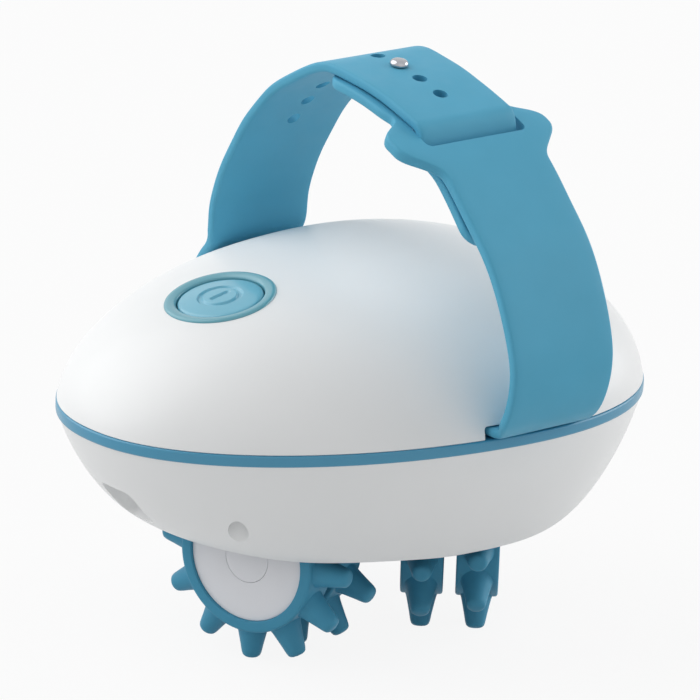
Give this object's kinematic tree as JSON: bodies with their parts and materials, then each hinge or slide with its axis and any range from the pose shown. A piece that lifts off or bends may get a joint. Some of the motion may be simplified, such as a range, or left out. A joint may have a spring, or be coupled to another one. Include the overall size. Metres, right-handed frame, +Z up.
{
  "type": "cellulite massager",
  "caption": "Egg-shaped hand-held body massager with a strap over its back and a power button, and a turning head of spiked rollers beneath.",
  "frame": {"origin": "where the turning head's axis meets the plane that the roller spikes stand on", "axes": "+Z up along the head's axis, -X towards the end with the button, X along the housing's length and Y across it"},
  "size_m": [0.1484, 0.1297, 0.139],
  "materials": {
    "white_plastic": "satin",
    "teal_plastic": "satin",
    "button_plastic": "satin",
    "strap_rubber": "satin",
    "tyre_rubber": "satin",
    "frame_plastic": "matte",
    "gear_plastic": "matte",
    "steel": "brushed",
    "screw_steel": "satin",
    "stud_metal": "polished",
    "bronze": "satin",
    "board": "satin",
    "black_plastic": "satin"
  },
  "bodies": {
    "housing": {"upper_shell": "white_plastic", "lower_shell": "white_plastic", "trim_ring": "teal_plastic", "button_bezel": "teal_plastic", "switch_body": "black_plastic", "circuit_board": "board", "board_screws": "screw_steel", "power_socket": "black_plastic", "housing_screws": "screw_steel", "gear_chassis": "frame_plastic", "chassis_screws": "screw_steel", "motor": "steel", "motor_screws": "screw_steel", "idler_pin": "steel", "shaft_bush": "bronze", "strap_loop_half": "strap_rubber", "strap_hole_half": "strap_rubber", "strap_stud": "stud_metal", "strap_anchor_pins": "steel"},
    "button": {"power_button": "button_plastic", "switch_plunger": "black_plastic"},
    "head": {"rotating_head": "white_plastic", "output_shaft": "steel", "output_gear": "gear_plastic", "retaining_ring": "steel", "head_screw": "screw_steel", "head_cap": "white_plastic", "axle_1": "steel", "axle_2": "steel", "axle_3": "steel", "axle_cap_1": "white_plastic", "axle_cap_2": "white_plastic", "axle_cap_3": "white_plastic"},
    "idler": {"idler_gear": "gear_plastic"},
    "pinion": {"motor_pinion": "bronze", "motor_shaft": "steel"},
    "roller_outer_1": {"tyre_outer_1": "tyre_rubber", "hub_outer_1": "white_plastic"},
    "roller_inner_1": {"tyre_inner_1": "tyre_rubber", "hub_inner_1": "white_plastic"},
    "roller_outer_2": {"tyre_outer_2": "tyre_rubber", "hub_outer_2": "white_plastic"},
    "roller_inner_2": {"tyre_inner_2": "tyre_rubber", "hub_inner_2": "white_plastic"},
    "roller_outer_3": {"tyre_outer_3": "tyre_rubber", "hub_outer_3": "white_plastic"},
    "roller_inner_3": {"tyre_inner_3": "tyre_rubber", "hub_inner_3": "white_plastic"}
  },
  "joints": [
    {"name": "head_spin", "type": "hinge", "parent": "housing", "child": "head", "pos_m": [0, 0, 0.058], "axis": [0, 0, 1], "continuous": true},
    {"name": "idler_spin", "type": "hinge", "parent": "housing", "child": "idler", "pos_m": [0.03438, 0, 0.065], "axis": [0, 0, 1], "continuous": true},
    {"name": "pinion_spin", "type": "hinge", "parent": "housing", "child": "pinion", "pos_m": [0.02125, 0.02273, 0.067], "axis": [0, 0, 1], "continuous": true},
    {"name": "button_press", "type": "slide", "parent": "housing", "child": "button", "axis": [0.2095, 0, -0.9778], "range_m": [0, 0.0008], "stiffness_N_per_m": 1500, "springref_m": -0.0004},
    {"name": "roller_outer_1_spin", "type": "hinge", "parent": "head", "child": "roller_outer_1", "pos_m": [-0.03272, -0.01127, 0.026], "axis": [-0.9455, -0.3256, 0], "continuous": true},
    {"name": "roller_inner_1_spin", "type": "hinge", "parent": "head", "child": "roller_inner_1", "pos_m": [-0.02023, -0.00697, 0.026], "axis": [-0.9455, -0.3256, 0], "continuous": true},
    {"name": "roller_outer_2_spin", "type": "hinge", "parent": "head", "child": "roller_outer_2", "pos_m": [0.02611, -0.0227, 0.026], "axis": [0.7547, -0.6561, 0], "continuous": true},
    {"name": "roller_inner_2_spin", "type": "hinge", "parent": "head", "child": "roller_inner_2", "pos_m": [0.01615, -0.01404, 0.026], "axis": [0.7547, -0.6561, 0], "continuous": true},
    {"name": "roller_outer_3_spin", "type": "hinge", "parent": "head", "child": "roller_outer_3", "pos_m": [0.0066, 0.03396, 0.026], "axis": [0.1908, 0.9816, 0], "continuous": true},
    {"name": "roller_inner_3_spin", "type": "hinge", "parent": "head", "child": "roller_inner_3", "pos_m": [0.00408, 0.02101, 0.026], "axis": [0.1908, 0.9816, 0], "continuous": true}
  ],
  "couplings": [
    {"joint": "idler_spin", "follows": "head_spin", "ratio": -4},
    {"joint": "pinion_spin", "follows": "head_spin", "ratio": 12.8}
  ]
}
